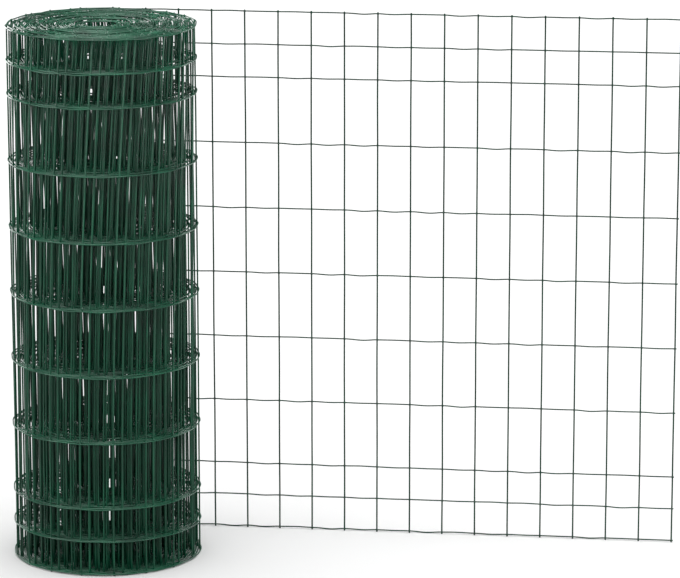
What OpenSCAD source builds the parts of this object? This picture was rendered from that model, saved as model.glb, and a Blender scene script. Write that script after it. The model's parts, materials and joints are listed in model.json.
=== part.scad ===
// Roll of green plastic-coated welded wire fencing, standing on its end,
// with a length of the fence unrolled from its back.
// The origin is on the roll's axis, at the level it stands on. +X runs along the unrolled length.

/* [Mesh] */
// Distance between neighbouring cross wires, along the fence
cell_length = 50.8; // [40:0.1:100]
// Distance between line wires in the rows of wide cells
wide_row = 101.6; // [80:0.1:120]
// Distance between line wires in the close rows along both edges
close_row = 50.8; // [40:0.1:80]
// Rows of wide cells
wide_rows = 6; // [2:1:8]
// Close rows along each edge
close_rows = 2; // [1:1:3]
// Diameter of the line wires, which run along the fence
line_d = 2.0; // [1.6:0.1:3]
// Diameter of the cross wires, which stand upright
cross_d = 2.5; // [1.8:0.1:3.5]
// How far a wire runs on past the centre of the last wire that it is welded to
stub = 2.5; // [2:0.1:6]
// How deep the wires are pressed into each other at a weld
weld_sink = 0.4; // [0.2:0.05:0.8]

/* [Roll] */
// Outer diameter of the roll
roll_d = 290; // [240:1:340]
// Diameter of the hollow in its middle
bore_d = 44; // [30:1:80]
// Turns between the hollow and the outside
turns = 36; // [20:1:44]
// Depth of the gap between two turns, seen on an end
turn_gap_depth = 4; // [2:0.5:8]

/* [Free end] */
// Cross wires on the unrolled length
free_cross_wires = 17; // [4:1:24]
// From the point where the fence leaves the roll to the first free cross wire
first_cross = 42.0; // [40:0.1:90]

/* [Hidden] */
green = [0.07, 0.26, 0.20];

roll_r = roll_d / 2;
bore_r = bore_d / 2;
bar_sides = 6;

// Heights of the line wires' centres
row_gaps = [
    for (i = [1 : close_rows]) close_row,
    for (i = [1 : wide_rows]) wide_row,
    for (i = [1 : close_rows]) close_row
];
function sum_to(list, n) = n == 0 ? 0 : list[n - 1] + sum_to(list, n - 1);
line_z = [for (i = [0 : len(row_gaps)]) stub + sum_to(row_gaps, i)];
height = line_z[len(line_z) - 1] + stub;

// One turn is a line wire with a cross wire welded to its inner side. The turns are wound so
// tightly that the cross wires of one nest between the line wires of the next.
turn_depth = line_d + cross_d - weld_sink;
turn_pitch = (roll_r - bore_r - turn_depth) / (turns - 1);

// The free end leaves the back of the roll along the tangent, line wires outermost
line_y = roll_r - line_d / 2;
cross_y = roll_r - line_d - cross_d / 2 + weld_sink;
cross_x = [for (i = [0 : free_cross_wires - 1]) first_cross + i * cell_length];
bar_start = 12;
bar_end = cross_x[free_cross_wires - 1] + stub;

// Half section of one end: each turn's line wire is a ridge, with a gap between it and the next.
// side is 1 for the top end and -1 for the bottom end.
function end_steps(z, side) = [
    for (i = [0 : turns - 1])
        let (
            outer = bore_r + turn_depth + i * turn_pitch,
            inner = i == 0 ? bore_r : outer - line_d,
            last = i == turns - 1
        )
        each last
            ? [[inner, z], [outer, z]]
            : [
                [inner, z],
                [outer, z],
                [outer, z - side * turn_gap_depth],
                [outer + turn_pitch - line_d, z - side * turn_gap_depth]
            ]
];
function reversed(list) = [for (i = [len(list) - 1 : -1 : 0]) list[i]];

// The wound part: one turned solid with its bore, its turns showing on both ends
module wound_roll() {
    color(green)
        rotate_extrude($fn = 180)
            polygon(concat(end_steps(0, -1), reversed(end_steps(height, 1))));
}

// A straight wire of the given diameter along Z, with flats facing along Y
module bar(diameter, length) {
    cylinder(d = diameter / cos(180 / bar_sides), h = length, $fn = bar_sides);
}

// The line wires of the unrolled length, which start flush on the roll
module line_bars() {
    difference() {
        for (z = line_z)
            translate([bar_start, line_y, z])
                rotate([0, 90, 0])
                    bar(line_d, bar_end - bar_start);
        translate([0, 0, -1])
            cylinder(r = roll_r, h = height + 2, $fn = 180);
    }
}

// The cross wires of the unrolled length, on the side that faced the roll's middle
module cross_bars() {
    for (x = cross_x)
        translate([x, cross_y, 0])
            bar(cross_d, height);
}

// The unrolled length of fence, fused where the wires cross
module free_end() {
    color(green)
        union() {
            line_bars();
            cross_bars();
        }
}

wound_roll();
free_end();
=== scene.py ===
"""Roll of green plastic-coated welded fencing, with a length of the fence unrolled from its back.

The fence is one continuous mesh. A point on it has a place along the fence and a height, and
one node group, "Fence Path", bends that flat sheet into the roll: above zero the fence runs
straight along +X, below zero it winds inwards round the roll's axis.
Everything is in metres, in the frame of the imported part.
"""

import json
import math

import bpy
from mathutils import Matrix, Vector


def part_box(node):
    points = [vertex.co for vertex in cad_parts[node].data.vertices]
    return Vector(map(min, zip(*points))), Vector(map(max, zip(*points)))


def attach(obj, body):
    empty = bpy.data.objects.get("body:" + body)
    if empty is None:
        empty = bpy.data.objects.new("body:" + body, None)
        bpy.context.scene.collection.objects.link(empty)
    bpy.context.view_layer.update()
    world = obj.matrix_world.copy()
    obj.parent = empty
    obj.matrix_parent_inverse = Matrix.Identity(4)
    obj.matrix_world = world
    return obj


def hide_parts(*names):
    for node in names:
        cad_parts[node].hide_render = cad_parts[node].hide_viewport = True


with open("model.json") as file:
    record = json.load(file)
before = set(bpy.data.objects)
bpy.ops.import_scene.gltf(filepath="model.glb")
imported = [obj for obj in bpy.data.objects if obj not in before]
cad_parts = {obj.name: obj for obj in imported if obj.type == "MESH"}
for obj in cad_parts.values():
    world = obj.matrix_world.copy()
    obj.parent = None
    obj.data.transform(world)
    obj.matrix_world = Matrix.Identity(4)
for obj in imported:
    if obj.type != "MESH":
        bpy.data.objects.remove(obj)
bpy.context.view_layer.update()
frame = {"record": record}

# ---------------------------------------------------------------- sizes

MM = 0.001

# The mesh, as the part has it
CELL = 50.8 * MM
LINE_D = 2.0 * MM
CROSS_D = 2.5 * MM
STUB = 2.5 * MM
WELD_SINK = 0.4 * MM
ROWS = 11
CLOSE_ROWS = 2
WIDE_ROWS = 6
FREE_CROSS_WIRES = 17
WOUND_CROSS_WIRES = 377

roll_low, roll_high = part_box("wound_roll")
free_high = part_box("free_end")[1]
bore = next(m for m in frame["record"]["mounts"] if m["name"] == "core_bore")
BORE_R = bore["dims"]["r_mm"] * MM
HEIGHT = roll_high[2] - roll_low[2]

# Radius of the outermost line wire's centre, and how far inside it the cross wires lie
OUTER_R = roll_high[0] - LINE_D / 2
INSET = (LINE_D + CROSS_D) / 2 - WELD_SINK
INNER_R = BORE_R + CROSS_D / 2 + INSET

# Places along the fence, from the point where it leaves the roll
FREE_END = free_high[0]
FIRST_CROSS = FREE_END - STUB - (FREE_CROSS_WIRES - 1) * CELL
INNER_END = FIRST_CROSS - WOUND_CROSS_WIRES * CELL - STUB
TURN_PITCH = math.pi * (OUTER_R ** 2 - INNER_R ** 2) / -INNER_END

# Cross wires at which one piece of the fence hands over to the next, counted from the first
# free one: the joint is hidden inside a weld
OUTER_LAST = -1
OUTER_FIRST = -36
INNER_PIECES = 3
SEED = 7

# How the roll is wound. Its upright wires lean, ever more towards the top, and the lean comes
# in over a short way from where the fence leaves the roll. The outermost turn stands proud and
# is slack, and takes the slack up again by its end. Unevenness is slow: its scale is per metre.
LEAN = 30 * MM
LEAN_CURVE = 2.2
SETTLE_LENGTH = 160 * MM
SLACK = 18 * MM
SLACK_TAKEN_UP = (660 * MM, 880 * MM)
LOOSENESS = 1.6 * MM
FLATTENING = 0.9 * MM
UNEVENNESS = 2.0 * MM
UNEVENNESS_UP = 3.5
UNEVENNESS_SCALE = 2.6

# How far the wires are from straight between two welds. The dip of a span is a share of the
# sag, upwards where it is positive. The two numbers "apart" keep neighbours unlike, and the
# wander scale is per metre.
SAG = 1.5 * MM
DIP_RANGE = (-1.0, 0.35)
SKEW_RANGE = (0.8, 1.25)
SPANS_APART = 1009.0
WOBBLE = 1.5 * MM
INNER_WOBBLE = 3 * MM
WANDER_SCALE = 5.5
WIRES_APART = 97.0

# Welds and wire tips. A lump's half sizes are across the sheet, along the line wire and along
# the cross wire. An upright wire narrows to a share of its thickness over its tip.
LUMP = (1.35 * MM, 1.7 * MM, 1.75 * MM)
TIP = 0.5 * MM
TIP_SHARE = 0.6

# A wire of n steps has n + 1 points, and one more past each end
EXTRA_POINTS = 3.0

# ---------------------------------------------------------------- helpers

def linear(hex_colour):
    """An sRGB hex colour as linear RGBA."""
    channels = [int(hex_colour[i:i + 2], 16) / 255 for i in (1, 3, 5)]
    bent = [c / 12.92 if c <= 0.04045 else ((c + 0.055) / 1.055) ** 2.4 for c in channels]
    return (*bent, 1.0)


def add(tree, kind, inputs=None, **settings):
    """Add a node, give it its settings, and set or link its inputs."""
    node = tree.nodes.new(kind)
    for name, value in settings.items():
        setattr(node, name, value)
    for key, value in (inputs or {}).items():
        if isinstance(value, bpy.types.NodeSocket):
            tree.links.new(value, node.inputs[key])
        else:
            node.inputs[key].default_value = value
    return node


def new_tree(name, inputs, outputs):
    """A node tree with named inputs and outputs; inputs maps a name to (type, default)."""
    tree = bpy.data.node_groups.new(name, "GeometryNodeTree")
    for label, (kind, default) in inputs.items():
        socket = tree.interface.new_socket(label, in_out="INPUT", socket_type=kind)
        if default is not None:
            socket.default_value = default
    for label, kind in outputs.items():
        tree.interface.new_socket(label, in_out="OUTPUT", socket_type=kind)
    return tree, tree.nodes.new("NodeGroupInput").outputs, tree.nodes.new("NodeGroupOutput")


FLOAT = "NodeSocketFloat"
INT = "NodeSocketInt"
VECTOR = "NodeSocketVector"
GEOMETRY = "NodeSocketGeometry"
MATERIAL = "NodeSocketMaterial"
MATH = "ShaderNodeMath"


# ---------------------------------------------------------------- the path of the fence

def fence_path():
    """Bends a flat fence: Along and Height on the sheet become a point in space.

    The spiral loses one turn pitch of radius in each turn, so after a length a it has made
    (R - sqrt(R^2 - pitch * a / pi)) / pitch turns. It leaves the roll at the back, at 90
    degrees, and winds round by the -X side to the front.
    """
    tree, given, out = new_tree(
        "Fence Path",
        {
            "Along": (FLOAT, 0.0),
            "Height": (FLOAT, 0.0),
            "Inset": (FLOAT, 0.0),
            "Outer Radius": (FLOAT, OUTER_R),
            "Turn Pitch": (FLOAT, TURN_PITCH),
            "Fence Height": (FLOAT, HEIGHT),
            "Lean": (FLOAT, LEAN),
            "Slack": (FLOAT, SLACK),
            "Looseness": (FLOAT, LOOSENESS),
            "Unevenness": (FLOAT, UNEVENNESS),
            "Cell": (FLOAT, CELL),
            "First Cross": (FLOAT, FIRST_CROSS),
        },
        {"Position": VECTOR, "Angle": FLOAT},
    )
    radius = given["Outer Radius"]
    pitch = given["Turn Pitch"]

    # Length wound onto the roll, zero on the unrolled part
    minus = add(tree, MATH, {0: given["Along"], 1: -1.0}, operation="MULTIPLY")
    wound = add(tree, MATH, {0: minus.outputs[0], 1: 0.0}, operation="MAXIMUM").outputs[0]

    # The cross wires of the wound part lean: their tops run on round the roll
    share = add(tree, MATH, {0: given["Height"], 1: given["Fence Height"]}, operation="DIVIDE")
    rise = add(
        tree, MATH, {0: share.outputs[0], 1: LEAN_CURVE}, operation="POWER", use_clamp=True,
    )
    settle = add(
        tree, "ShaderNodeMapRange", {"Value": wound, "From Min": 0.0, "From Max": SETTLE_LENGTH},
        interpolation_type="SMOOTHSTEP",
    )
    leaning = add(tree, MATH, {0: rise.outputs[0], 1: given["Lean"]}, operation="MULTIPLY")

    # The outermost turn is slack behind the roll and takes the slack up again by its end
    slack_from, slack_to = SLACK_TAKEN_UP
    taken = add(
        tree, "ShaderNodeMapRange",
        {"Value": wound, "From Min": slack_from, "From Max": slack_to, "To Min": 1.0,
         "To Max": 0.0},
        interpolation_type="SMOOTHSTEP",
    )
    slack = add(tree, MATH, {0: taken.outputs[0], 1: given["Slack"]}, operation="MULTIPLY")
    shift = add(tree, MATH, {0: leaning.outputs[0], 1: slack.outputs[0]}, operation="ADD")
    shifted = add(
        tree, MATH, {0: shift.outputs[0], 1: settle.outputs[0], 2: wound}, operation="MULTIPLY_ADD",
    ).outputs[0]

    # Turns made, from the length wound
    square = add(tree, MATH, {0: radius, 1: radius}, operation="MULTIPLY")
    area = add(tree, MATH, {0: shifted, 1: pitch}, operation="MULTIPLY")
    per_pi = add(tree, MATH, {0: area.outputs[0], 1: math.pi}, operation="DIVIDE")
    left = add(tree, MATH, {0: square.outputs[0], 1: per_pi.outputs[0]}, operation="SUBTRACT")
    above = add(tree, MATH, {0: left.outputs[0], 1: 0.0}, operation="MAXIMUM")
    inside = add(tree, MATH, {0: above.outputs[0]}, operation="SQRT").outputs[0]
    given_up = add(tree, MATH, {0: radius, 1: inside}, operation="SUBTRACT")
    turns = add(tree, MATH, {0: given_up.outputs[0], 1: pitch}, operation="DIVIDE").outputs[0]
    angle = add(
        tree, MATH, {0: turns, 1: 2 * math.pi, 2: math.pi / 2}, operation="MULTIPLY_ADD",
    ).outputs[0]

    # The first turn stands a little proud of the rest
    to_end = add(tree, MATH, {0: 1.0, 1: turns}, operation="SUBTRACT", use_clamp=True)
    both = add(tree, MATH, {0: to_end.outputs[0], 1: turns}, operation="MULTIPLY")
    proud = add(
        tree, MATH, {0: both.outputs[0], 1: given["Looseness"], 2: inside}, operation="MULTIPLY_ADD",
    )

    # Between two welds the stiff wires run nearly straight, a little inside the round
    cell_place = add(
        tree, MATH, {0: given["Along"], 1: given["First Cross"]}, operation="SUBTRACT",
    )
    in_cells = add(tree, MATH, {0: cell_place.outputs[0], 1: given["Cell"]}, operation="DIVIDE")
    half_wave = add(tree, MATH, {0: in_cells.outputs[0], 1: math.pi}, operation="MULTIPLY")
    wave = add(tree, MATH, {0: half_wave.outputs[0]}, operation="SINE")
    hollow = add(tree, MATH, {0: wave.outputs[0], 1: wave.outputs[0]}, operation="MULTIPLY")
    wound_side = add(tree, MATH, {0: wound, 1: 0.0}, operation="GREATER_THAN")
    flatten = add(
        tree, MATH, {0: hollow.outputs[0], 1: wound_side.outputs[0]}, operation="MULTIPLY",
    )
    straight = add(
        tree, MATH, {0: flatten.outputs[0], 1: -FLATTENING, 2: proud.outputs[0]},
        operation="MULTIPLY_ADD",
    )
    at = add(tree, MATH, {0: straight.outputs[0], 1: given["Inset"]}, operation="SUBTRACT")

    # Slow unevenness of the winding: each turn sits a little higher or lower, wider or closer
    place = add(tree, "ShaderNodeCombineXYZ", {0: shifted, 1: given["Height"], 2: float(SEED)})
    slow = add(
        tree, "ShaderNodeTexNoise",
        {"Vector": place.outputs[0], "Scale": UNEVENNESS_SCALE, "Detail": 1.0},
        noise_dimensions="3D",
    )
    centred = add(
        tree, "ShaderNodeVectorMath", {0: slow.outputs["Color"], 1: (0.5, 0.5, 0.5)},
        operation="SUBTRACT",
    )
    faded = add(tree, MATH, {0: settle.outputs[0], 1: given["Unevenness"]}, operation="MULTIPLY")
    uneven = add(
        tree, "ShaderNodeVectorMath", {0: centred.outputs[0], 3: faded.outputs[0]},
        operation="SCALE",
    )
    parts = add(tree, "ShaderNodeSeparateXYZ", {0: uneven.outputs[0]}).outputs
    out_r = add(tree, MATH, {0: parts[0], 1: at.outputs[0]}, operation="ADD").outputs[0]
    # Up and down it is more uneven than across, but every wire still stands on the ground
    standing = add(
        tree, MATH, {0: given["Height"], 1: given["Cell"]}, operation="DIVIDE", use_clamp=True,
    )
    lifted = add(
        tree, MATH, {0: standing.outputs[0], 1: UNEVENNESS_UP}, operation="MULTIPLY",
    )
    up = add(
        tree, MATH, {0: parts[2], 1: lifted.outputs[0], 2: given["Height"]},
        operation="MULTIPLY_ADD",
    )

    cosine = add(tree, MATH, {0: angle}, operation="COSINE")
    sine = add(tree, MATH, {0: angle}, operation="SINE")
    free = add(tree, MATH, {0: given["Along"], 1: 0.0}, operation="MAXIMUM")
    x = add(
        tree, MATH, {0: out_r, 1: cosine.outputs[0], 2: free.outputs[0]}, operation="MULTIPLY_ADD",
    )
    y = add(tree, MATH, {0: out_r, 1: sine.outputs[0]}, operation="MULTIPLY")
    spot = add(tree, "ShaderNodeCombineXYZ", {0: x.outputs[0], 1: y.outputs[0], 2: up.outputs[0]})
    tree.links.new(spot.outputs[0], out.inputs["Position"])
    tree.links.new(angle, out.inputs["Angle"])
    return tree


def row_height():
    """The height of a line wire's centre from its number, counted from the bottom.

    The wide rows between the close ones are two cells high.
    """
    tree, given, out = new_tree(
        "Row Height",
        {"Row": (FLOAT, 0.0), "Cell": (FLOAT, CELL), "Stub": (FLOAT, STUB)},
        {"Height": FLOAT},
    )
    above = add(tree, MATH, {0: given["Row"], 1: float(CLOSE_ROWS)}, operation="SUBTRACT")
    wide = add(
        tree, "ShaderNodeClamp", {"Value": above.outputs[0], "Min": 0.0, "Max": float(WIDE_ROWS)},
    )
    steps = add(tree, MATH, {0: given["Row"], 1: wide.outputs[0]}, operation="ADD")
    height = add(
        tree, MATH, {0: steps.outputs[0], 1: given["Cell"], 2: given["Stub"]},
        operation="MULTIPLY_ADD",
    )
    tree.links.new(height.outputs[0], out.inputs["Height"])
    return tree


def fence_mesh(path, rows):
    """A stretch of the fence: its line wires, its cross wires and the welds between them.

    First and Last are cross wires by number, from the first free one; the line wires run from
    the one to the other, and Tail is how far they run on past them.
    """
    tree, given, out = new_tree(
        "Fence Mesh",
        {
            "First": (INT, 0),
            "Last": (INT, 1),
            "Tail Before": (FLOAT, 0.0),
            "Tail After": (FLOAT, 0.0),
            "Wires At First": (INT, 0),
            "Points In A Cell": (INT, 12),
            "Points Up A Wire": (INT, 66),
            "Sides": (INT, 8),
            "Weld Detail": (INT, 1),
            "Line Diameter": (FLOAT, LINE_D),
            "Cross Diameter": (FLOAT, CROSS_D),
            "Inset": (FLOAT, INSET),
            "Sag": (FLOAT, SAG),
            "Wobble": (FLOAT, WOBBLE),
            "Finish": (MATERIAL, None),
        },
        {"Geometry": GEOMETRY},
    )
    cells = add(tree, MATH, {0: given["Last"], 1: given["First"]}, operation="SUBTRACT").outputs[0]
    begin = add(
        tree, MATH, {0: given["First"], 1: CELL, 2: FIRST_CROSS}, operation="MULTIPLY_ADD",
    ).outputs[0]

    # Line wires: one long row of points with a place along the fence, once for every row
    count = add(tree, MATH, {0: cells, 1: given["Points In A Cell"]}, operation="MULTIPLY")
    line_points = add(
        tree, MATH, {0: count.outputs[0], 1: EXTRA_POINTS}, operation="ADD",
    ).outputs[0]
    step = add(tree, MATH, {0: CELL, 1: given["Points In A Cell"]}, operation="DIVIDE").outputs[0]
    one_back = add(tree, MATH, {0: begin, 1: step}, operation="SUBTRACT").outputs[0]
    start = add(tree, "ShaderNodeCombineXYZ", {0: one_back})
    stride = add(tree, "ShaderNodeCombineXYZ", {0: step})
    line = add(
        tree, "GeometryNodeMeshLine",
        {"Count": line_points, "Start Location": start.outputs[0], "Offset": stride.outputs[0]},
    )
    wire = add(tree, "GeometryNodeMeshToCurve", {"Mesh": line.outputs[0]})
    lines = add(
        tree, "GeometryNodeDuplicateElements", {"Geometry": wire.outputs[0], "Amount": ROWS},
        domain="SPLINE",
    )
    row = lines.outputs["Duplicate Index"]
    position = add(tree, "GeometryNodeInputPosition")
    raw_x = add(tree, "ShaderNodeSeparateXYZ", {0: position.outputs[0]}).outputs[0]
    end = add(
        tree, MATH, {0: cells, 1: CELL, 2: begin}, operation="MULTIPLY_ADD",
    ).outputs[0]
    low_end = add(tree, MATH, {0: begin, 1: given["Tail Before"]}, operation="SUBTRACT")
    high_end = add(tree, MATH, {0: end, 1: given["Tail After"]}, operation="ADD")
    along = add(
        tree, "ShaderNodeClamp",
        {"Value": raw_x, "Min": low_end.outputs[0], "Max": high_end.outputs[0]},
    ).outputs[0]

    # Each span between two welds dips, or now and then rises, by its own amount
    from_first = add(tree, MATH, {0: along, 1: FIRST_CROSS}, operation="SUBTRACT")
    in_cells = add(tree, MATH, {0: from_first.outputs[0], 1: CELL}, operation="DIVIDE").outputs[0]
    cell_number = add(tree, MATH, {0: in_cells}, operation="FLOOR")
    span_id = add(
        tree, MATH, {0: row, 1: SPANS_APART, 2: cell_number.outputs[0]},
        operation="MULTIPLY_ADD",
    )
    amount = add(
        tree, "FunctionNodeRandomValue",
        {"Min": DIP_RANGE[0], "Max": DIP_RANGE[1], "ID": span_id.outputs[0], "Seed": SEED},
        data_type="FLOAT",
    )
    skewed = add(
        tree, "FunctionNodeRandomValue",
        {"Min": SKEW_RANGE[0], "Max": SKEW_RANGE[1], "ID": span_id.outputs[0],
         "Seed": SEED + 1},
        data_type="FLOAT",
    )
    fraction = add(tree, MATH, {0: in_cells}, operation="FRACT")
    bent = add(
        tree, MATH, {0: fraction.outputs[0], 1: skewed.outputs[1]}, operation="POWER",
    )
    half_turn = add(tree, MATH, {0: bent.outputs[0], 1: math.pi}, operation="MULTIPLY")
    arch = add(tree, MATH, {0: half_turn.outputs[0]}, operation="SINE")
    squared = add(tree, MATH, {0: arch.outputs[0], 1: arch.outputs[0]}, operation="MULTIPLY")
    dip = add(tree, MATH, {0: squared.outputs[0], 1: amount.outputs[1]}, operation="MULTIPLY")
    level = add(tree, "GeometryNodeGroup", {"Row": row}, node_tree=rows)
    dipped = add(
        tree, MATH, {0: dip.outputs[0], 1: given["Sag"], 2: level.outputs[0]},
        operation="MULTIPLY_ADD",
    )
    line_spot = add(
        tree, "GeometryNodeGroup", {"Along": along, "Height": dipped.outputs[0]}, node_tree=path,
    )
    line_wires = add(
        tree, "GeometryNodeSetPosition",
        {"Geometry": lines.outputs[0], "Position": line_spot.outputs["Position"]},
    )
    line_round = add(tree, MATH, {0: given["Line Diameter"], 1: 0.5}, operation="MULTIPLY")
    line_profile = add(
        tree, "GeometryNodeCurvePrimitiveCircle",
        {"Resolution": given["Sides"], "Radius": line_round.outputs[0]},
    )
    line_tubes = add(
        tree, "GeometryNodeCurveToMesh",
        {0: line_wires.outputs[0], 1: line_profile.outputs[0], "Fill Caps": True},
    )

    # Cross wires: one upright row of points, once for every cross wire, with narrowed tips
    steps_up = add(
        tree, MATH, {0: given["Points Up A Wire"], 1: EXTRA_POINTS}, operation="SUBTRACT",
    )
    rise = add(tree, MATH, {0: HEIGHT, 1: steps_up.outputs[0]}, operation="DIVIDE").outputs[0]
    one_under = add(tree, MATH, {0: rise, 1: -1.0}, operation="MULTIPLY")
    foot = add(tree, "ShaderNodeCombineXYZ", {2: one_under.outputs[0]})
    upward = add(tree, "ShaderNodeCombineXYZ", {2: rise})
    upright = add(
        tree, "GeometryNodeMeshLine",
        {"Count": given["Points Up A Wire"], "Start Location": foot.outputs[0],
         "Offset": upward.outputs[0]},
    )
    upright_wire = add(tree, "GeometryNodeMeshToCurve", {"Mesh": upright.outputs[0]})
    amount_up = add(tree, MATH, {0: cells, 1: given["Wires At First"]}, operation="ADD")
    skipped = add(tree, MATH, {0: 1.0, 1: given["Wires At First"]}, operation="SUBTRACT")
    first_wire = add(
        tree, MATH, {0: skipped.outputs[0], 1: CELL, 2: begin}, operation="MULTIPLY_ADD",
    ).outputs[0]
    uprights = add(
        tree, "GeometryNodeDuplicateElements",
        {"Geometry": upright_wire.outputs[0], "Amount": amount_up.outputs[0]}, domain="SPLINE",
    )
    raw_z = add(tree, "ShaderNodeSeparateXYZ", {0: position.outputs[0]}).outputs[2]
    body_z = add(
        tree, "ShaderNodeClamp", {"Value": raw_z, "Min": TIP, "Max": HEIGHT - TIP},
    )
    tip_z = add(tree, "ShaderNodeClamp", {"Value": raw_z, "Min": 0.0, "Max": HEIGHT})
    ends = add(tree, "GeometryNodeCurveEndpointSelection").outputs[0]
    z = add(
        tree, "GeometryNodeSwitch",
        {"Switch": ends, "False": body_z.outputs[0], "True": tip_z.outputs[0]}, input_type="FLOAT",
    ).outputs[0]
    number = uprights.outputs["Duplicate Index"]
    wire_place = add(tree, MATH, {0: number, 1: CELL, 2: first_wire}, operation="MULTIPLY_ADD")
    # Each upright wire wanders a little sideways on its way up
    wander_at = add(tree, "ShaderNodeCombineXYZ", {0: wire_place.outputs[0], 2: z})
    stretched = add(
        tree, "ShaderNodeVectorMath", {0: wander_at.outputs[0], 1: (WIRES_APART, 0.0, 1.0)},
        operation="MULTIPLY",
    )
    wander = add(
        tree, "ShaderNodeTexNoise",
        {"Vector": stretched.outputs[0], "Scale": WANDER_SCALE, "Detail": 1.0},
        noise_dimensions="3D",
    )
    centre = add(tree, MATH, {0: wander.outputs["Fac"], 1: 0.5}, operation="SUBTRACT")
    wandered = add(
        tree, MATH, {0: centre.outputs[0], 1: given["Wobble"], 2: wire_place.outputs[0]},
        operation="MULTIPLY_ADD",
    )
    cross_spot = add(
        tree, "GeometryNodeGroup",
        {"Inset": given["Inset"], "Along": wandered.outputs[0], "Height": z}, node_tree=path,
    )
    cross_wires = add(
        tree, "GeometryNodeSetPosition",
        {"Geometry": uprights.outputs[0], "Position": cross_spot.outputs["Position"]},
    )
    cross_round = add(tree, MATH, {0: given["Cross Diameter"], 1: 0.5}, operation="MULTIPLY")
    cross_profile = add(
        tree, "GeometryNodeCurvePrimitiveCircle",
        {"Resolution": given["Sides"], "Radius": cross_round.outputs[0]},
    )
    narrowed = add(
        tree, "GeometryNodeSwitch", {"Switch": ends, "False": 1.0, "True": TIP_SHARE},
        input_type="FLOAT",
    )
    cross_tubes = add(
        tree, "GeometryNodeCurveToMesh",
        {0: cross_wires.outputs[0], 1: cross_profile.outputs[0], "Scale": narrowed.outputs[0],
         "Fill Caps": True},
    )

    # Welds: the coating gathers into a small lump wherever two wires are welded
    first_weld = add(tree, "ShaderNodeCombineXYZ", {0: first_wire})
    weld_line = add(
        tree, "GeometryNodeMeshLine",
        {"Count": amount_up.outputs[0], "Start Location": first_weld.outputs[0],
         "Offset": (CELL, 0.0, 0.0)},
    )
    weld_points = add(tree, "GeometryNodeMeshToPoints", {"Mesh": weld_line.outputs[0]})
    welds = add(
        tree, "GeometryNodeDuplicateElements",
        {"Geometry": weld_points.outputs[0], "Amount": ROWS}, domain="POINT",
    )
    weld_level = add(
        tree, "GeometryNodeGroup", {"Row": welds.outputs["Duplicate Index"]}, node_tree=rows,
    )
    half_inset = add(tree, MATH, {0: given["Inset"], 1: 0.5}, operation="MULTIPLY")
    weld_spot = add(
        tree, "GeometryNodeGroup",
        {"Along": raw_x, "Height": weld_level.outputs[0], "Inset": half_inset.outputs[0]},
        node_tree=path,
    )
    turned = add(tree, "ShaderNodeCombineXYZ", {2: weld_spot.outputs["Angle"]})
    placed = add(
        tree, "GeometryNodeSetPosition",
        {"Geometry": welds.outputs[0], "Position": weld_spot.outputs["Position"]},
    )
    lump = add(
        tree, "GeometryNodeMeshIcoSphere",
        {"Radius": 1.0, "Subdivisions": given["Weld Detail"]},
    )
    weld_lumps = add(
        tree, "GeometryNodeInstanceOnPoints",
        {"Points": placed.outputs[0], "Instance": lump.outputs[0], "Rotation": turned.outputs[0],
         "Scale": LUMP},
    )

    joined = add(tree, "GeometryNodeJoinGeometry")
    for part in (line_tubes, cross_tubes, weld_lumps):
        tree.links.new(part.outputs[0], joined.inputs[0])
    real = add(tree, "GeometryNodeRealizeInstances", {0: joined.outputs[0]})
    smooth = add(tree, "GeometryNodeSetShadeSmooth", {0: real.outputs[0], "Shade Smooth": True})
    finished = add(
        tree, "GeometryNodeSetMaterial", {0: smooth.outputs[0], "Material": given["Finish"]},
    )
    tree.links.new(finished.outputs[0], out.inputs["Geometry"])
    return tree


def made_of(name, tree, values):
    """A plain mesh object from a tree and the values of its named inputs."""
    blank = bpy.data.objects.new(name + "_base", bpy.data.meshes.new(name + "_base"))
    bpy.context.scene.collection.objects.link(blank)
    modifier = blank.modifiers.new("Nodes", "NODES")
    modifier.node_group = tree
    sockets = {s.name: s.identifier for s in tree.interface.items_tree if s.in_out == "INPUT"}
    for label, value in values.items():
        modifier[sockets[label]] = value
    depsgraph = bpy.context.evaluated_depsgraph_get()
    mesh = bpy.data.meshes.new_from_object(blank.evaluated_get(depsgraph))
    bpy.data.objects.remove(blank)
    mesh.name = name
    piece = bpy.data.objects.new(name, mesh)
    bpy.context.scene.collection.objects.link(piece)
    return piece


# ---------------------------------------------------------------- materials

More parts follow.
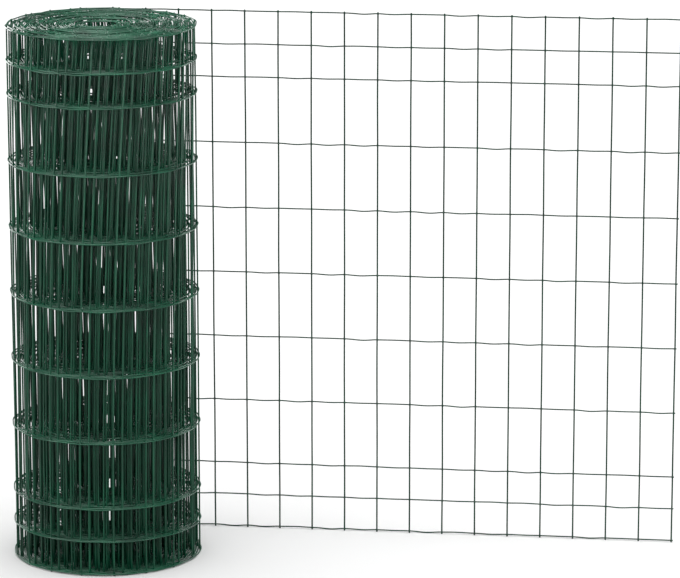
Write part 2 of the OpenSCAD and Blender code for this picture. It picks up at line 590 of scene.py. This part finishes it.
def pvc_coated_wire():
    """Moss green PVC, fused onto galvanised steel wire in a hot dip.

    The eye sees a smooth, semi-gloss, slightly flowed plastic skin: long soft highlights along
    each wire, a touch unevenly thick, so the green is a little darker in some stretches.
    """
    material = bpy.data.materials.new("pvc_coated_wire")
    material.use_nodes = True
    tree = material.node_tree
    tree.nodes.clear()
    place = add(tree, "ShaderNodeTexCoord").outputs["Object"]

    # The skin's thickness changes over about 40 mm of wire
    thick_stretch = 40 * MM
    thickness = add(
        tree, "ShaderNodeTexNoise", {"Vector": place, "Scale": 1 / thick_stretch, "Detail": 2.0},
    )
    green = add(tree, "ShaderNodeValToRGB", {"Fac": thickness.outputs["Fac"]})
    green.color_ramp.elements[0].position = 0.3
    green.color_ramp.elements[0].color = linear("#022a1c")
    green.color_ramp.elements[1].position = 0.72
    green.color_ramp.elements[1].color = linear("#05412c")

    # Flow marks of the dip, about 3 mm long and 0.12 mm deep, change the gloss
    flow_mark = 3 * MM
    flow_depth = 0.12 * MM
    flow = add(
        tree, "ShaderNodeTexNoise", {"Vector": place, "Scale": 1 / flow_mark, "Detail": 2.0},
    )
    gloss = add(
        tree, "ShaderNodeMapRange", {"Value": flow.outputs["Fac"], "To Min": 0.24, "To Max": 0.36},
    )
    skin = add(
        tree, "ShaderNodeBump",
        {"Height": flow.outputs["Fac"], "Strength": 0.25, "Distance": flow_depth},
    )
    shader = add(
        tree, "ShaderNodeBsdfPrincipled",
        {"Base Color": green.outputs[0], "Roughness": gloss.outputs[0],
         "Normal": skin.outputs[0], "IOR": 1.53, "Specular IOR Level": 0.25},
    )
    add(tree, "ShaderNodeOutputMaterial", {"Surface": shader.outputs[0]})
    return material


def plain_floor():
    """Matt white studio board."""
    material = bpy.data.materials.new("studio_board")
    material.use_nodes = True
    shader = material.node_tree.nodes["Principled BSDF"]
    shader.inputs["Base Color"].default_value = linear("#f6f6f6")
    shader.inputs["Roughness"].default_value = 0.9
    return material


# ---------------------------------------------------------------- the fence

coated = pvc_coated_wire()
path_group = fence_path()
row_group = row_height()
mesh_group = fence_mesh(path_group, row_group)

unrolled = made_of("fence_unrolled", mesh_group, {
    "First": OUTER_LAST,
    "Last": FREE_CROSS_WIRES - 1,
    "Tail After": STUB,
    "Points In A Cell": 14,
    "Points Up A Wire": 124,
    "Sides": 10,
    "Weld Detail": 2,
    "Finish": coated,
})
outer_turns = made_of("fence_outer_turns", mesh_group, {
    "First": OUTER_FIRST,
    "Last": OUTER_LAST,
    "Points In A Cell": 12,
    "Points Up A Wire": 62,
    "Sides": 8,
    "Weld Detail": 1,
    "Finish": coated,
})
pieces = [unrolled, outer_turns]
handovers = [
    round(OUTER_FIRST + (-WOUND_CROSS_WIRES - OUTER_FIRST) * i / INNER_PIECES)
    for i in range(INNER_PIECES + 1)
]
for i in range(INNER_PIECES):
    innermost = i == INNER_PIECES - 1
    pieces.append(made_of(f"fence_inner_turns_{i + 1}", mesh_group, {
        "First": handovers[i + 1],
        "Last": handovers[i],
        "Tail Before": STUB if innermost else 0.0,
        "Wires At First": 1 if innermost else 0,
        "Points In A Cell": 6,
        "Points Up A Wire": 34,
        "Sides": 6,
        "Weld Detail": 1,
        "Wobble": INNER_WOBBLE,
        "Finish": coated,
    }))
for piece in pieces:
    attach(piece, "root")
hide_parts("free_end")
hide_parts("wound_roll")


# ---------------------------------------------------------------- floor, light and camera

def studio():
    """A wide pale floor, a soft even sky, a soft light from above and five soft boxes."""
    half = 30.0
    board = bpy.data.meshes.new("floor")
    corners = [(-half, -half, 0), (half, -half, 0), (half, half, 0), (-half, half, 0)]
    board.from_pydata(corners, [], [(0, 1, 2, 3)])
    board.materials.append(plain_floor())
    floor = bpy.data.objects.new("floor", board)
    bpy.context.scene.collection.objects.link(floor)

    world = bpy.data.worlds.new("soft_sky")
    bpy.context.scene.world = world
    world.use_nodes = True
    sky = world.node_tree.nodes["Background"]
    sky.inputs["Color"].default_value = linear("#ffffff")
    sky.inputs["Strength"].default_value = 0.2

    # Soft boxes light the wound roll alone, so that the floor stays an even white. Each has
    # its place, its width and height, and its power.
    lit = bpy.data.collections.new("lit_roll")
    for piece in pieces[1:]:
        lit.objects.link(piece)
    boxes = {
        "top_box": ((-0.3, -0.7, 2.4), 3.0, 1.6, 100.0),
        "left_box": ((-2.6, -1.7, 0.7), 1.0, 1.2, 66.0),
        "right_box": ((2.7, -1.5, 0.7), 1.0, 1.2, 48.0),
        "left_rim_box": ((-1.9, 2.0, 1.2), 1.0, 1.8, 50.0),
        "right_rim_box": ((2.2, 2.0, 1.2), 1.0, 1.8, 50.0),
    }
    middle_of_roll = Vector((0.0, 0.0, 0.4))
    for name, (spot, width, height, power) in boxes.items():
        lamp = bpy.data.lights.new(name, "AREA")
        lamp.shape = "RECTANGLE"
        lamp.size = width
        lamp.size_y = height
        lamp.energy = power
        holder = bpy.data.objects.new(name, lamp)
        holder.location = spot
        aim = middle_of_roll - Vector(spot)
        holder.rotation_euler = aim.to_track_quat("-Z", "Y").to_euler()
        bpy.context.scene.collection.objects.link(holder)
        holder.light_linking.receiver_collection = lit
        holder.visible_camera = False
    overhead = bpy.data.lights.new("overhead", "SUN")
    overhead.energy = 3.3
    overhead.angle = math.radians(100)
    ceiling = bpy.data.objects.new("overhead", overhead)
    bpy.context.scene.collection.objects.link(ceiling)
    bpy.context.scene.view_settings.view_transform = "Standard"


def camera():
    """A long lens from the front right, a little above the top of the roll."""
    spot = Vector((1.1046, -5.8985, 1.8312))
    yaw, pitch, roll = (math.radians(a) for a in (-7.215, 13.348, 0.018))
    forward = Vector((
        math.sin(yaw) * math.cos(pitch), math.cos(yaw) * math.cos(pitch), -math.sin(pitch),
    ))
    level = Vector((math.cos(yaw), -math.sin(yaw), 0.0))
    down = forward.cross(level)
    right = math.cos(roll) * level + math.sin(roll) * down
    down = math.cos(roll) * down - math.sin(roll) * level
    turn = Matrix((right, -down, -forward)).transposed().to_4x4()
    lens = bpy.data.cameras.new("camera")
    lens.sensor_width = 36.0
    lens.lens = 215.6
    lens.clip_end = 100.0
    holder = bpy.data.objects.new("camera", lens)
    holder.matrix_world = Matrix.Translation(spot) @ turn
    bpy.context.scene.collection.objects.link(holder)
    bpy.context.scene.camera = holder


studio()
camera()
